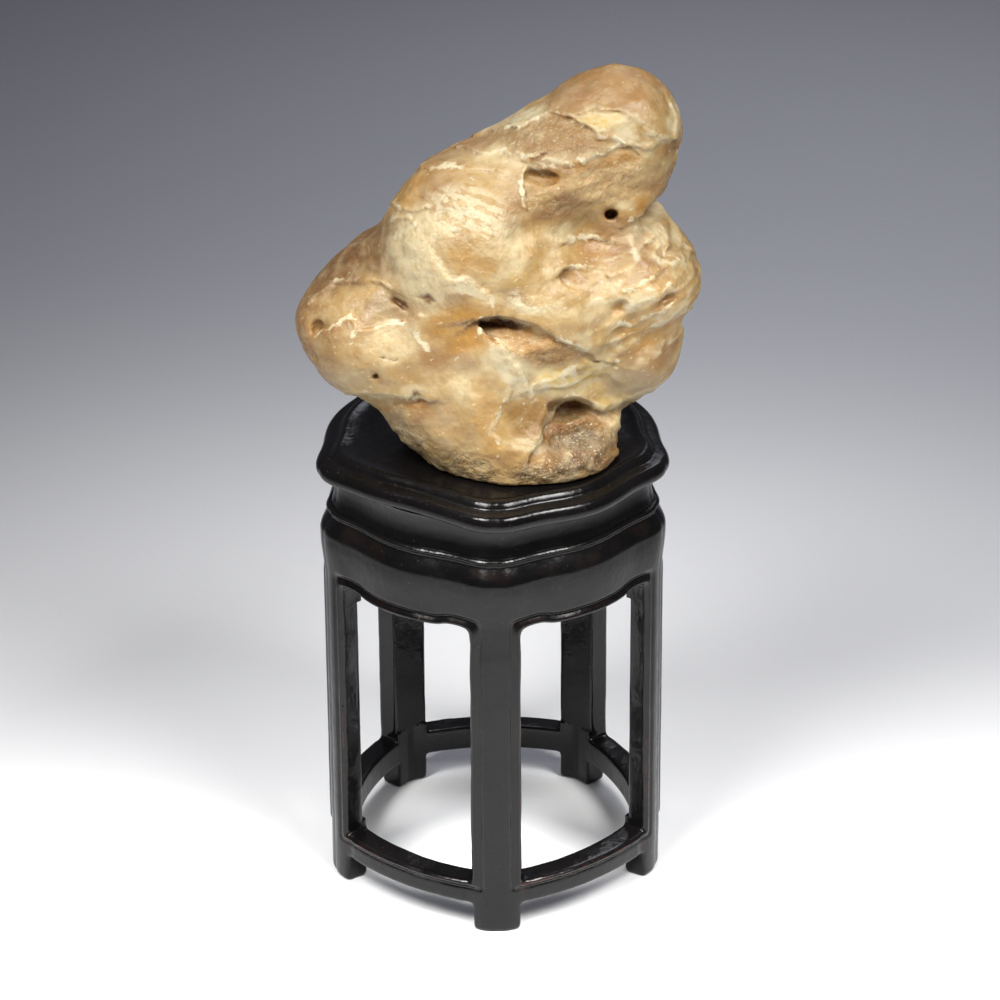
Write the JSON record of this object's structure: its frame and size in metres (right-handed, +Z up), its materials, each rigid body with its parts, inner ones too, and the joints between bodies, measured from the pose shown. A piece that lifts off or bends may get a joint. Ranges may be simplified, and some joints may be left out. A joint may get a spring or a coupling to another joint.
{
  "type": "scholar's rock on a stand",
  "caption": "Waxy yellow-brown scholar's rock, leaning to one side, resting upright on a tall waisted dark hardwood stand with a lobed top and bowed foot stretchers.",
  "frame": {"origin": "on the floor, under the middle of the overall box", "axes": "+Z up; -Y towards the front leg and the stone's show face; +X to the right of a person facing it"},
  "size_m": [0.114, 0.1, 0.2446],
  "materials": {
    "stone": "satin",
    "slab_wood": "satin",
    "stand_wood": "satin",
    "stretcher_wood": "satin"
  },
  "bodies": {
    "root": {"scholars_rock": "stone", "top_slab": "slab_wood", "waist": "stand_wood", "leg_1": "stand_wood", "leg_2": "stand_wood", "leg_3": "stand_wood", "leg_4": "stand_wood", "leg_5": "stand_wood", "apron_1": "stand_wood", "apron_2": "stand_wood", "apron_3": "stand_wood", "apron_4": "stand_wood", "apron_5": "stand_wood", "stretcher_1": "stretcher_wood", "stretcher_2": "stretcher_wood", "stretcher_3": "stretcher_wood", "stretcher_4": "stretcher_wood", "stretcher_5": "stretcher_wood"}
  },
  "joints": []
}
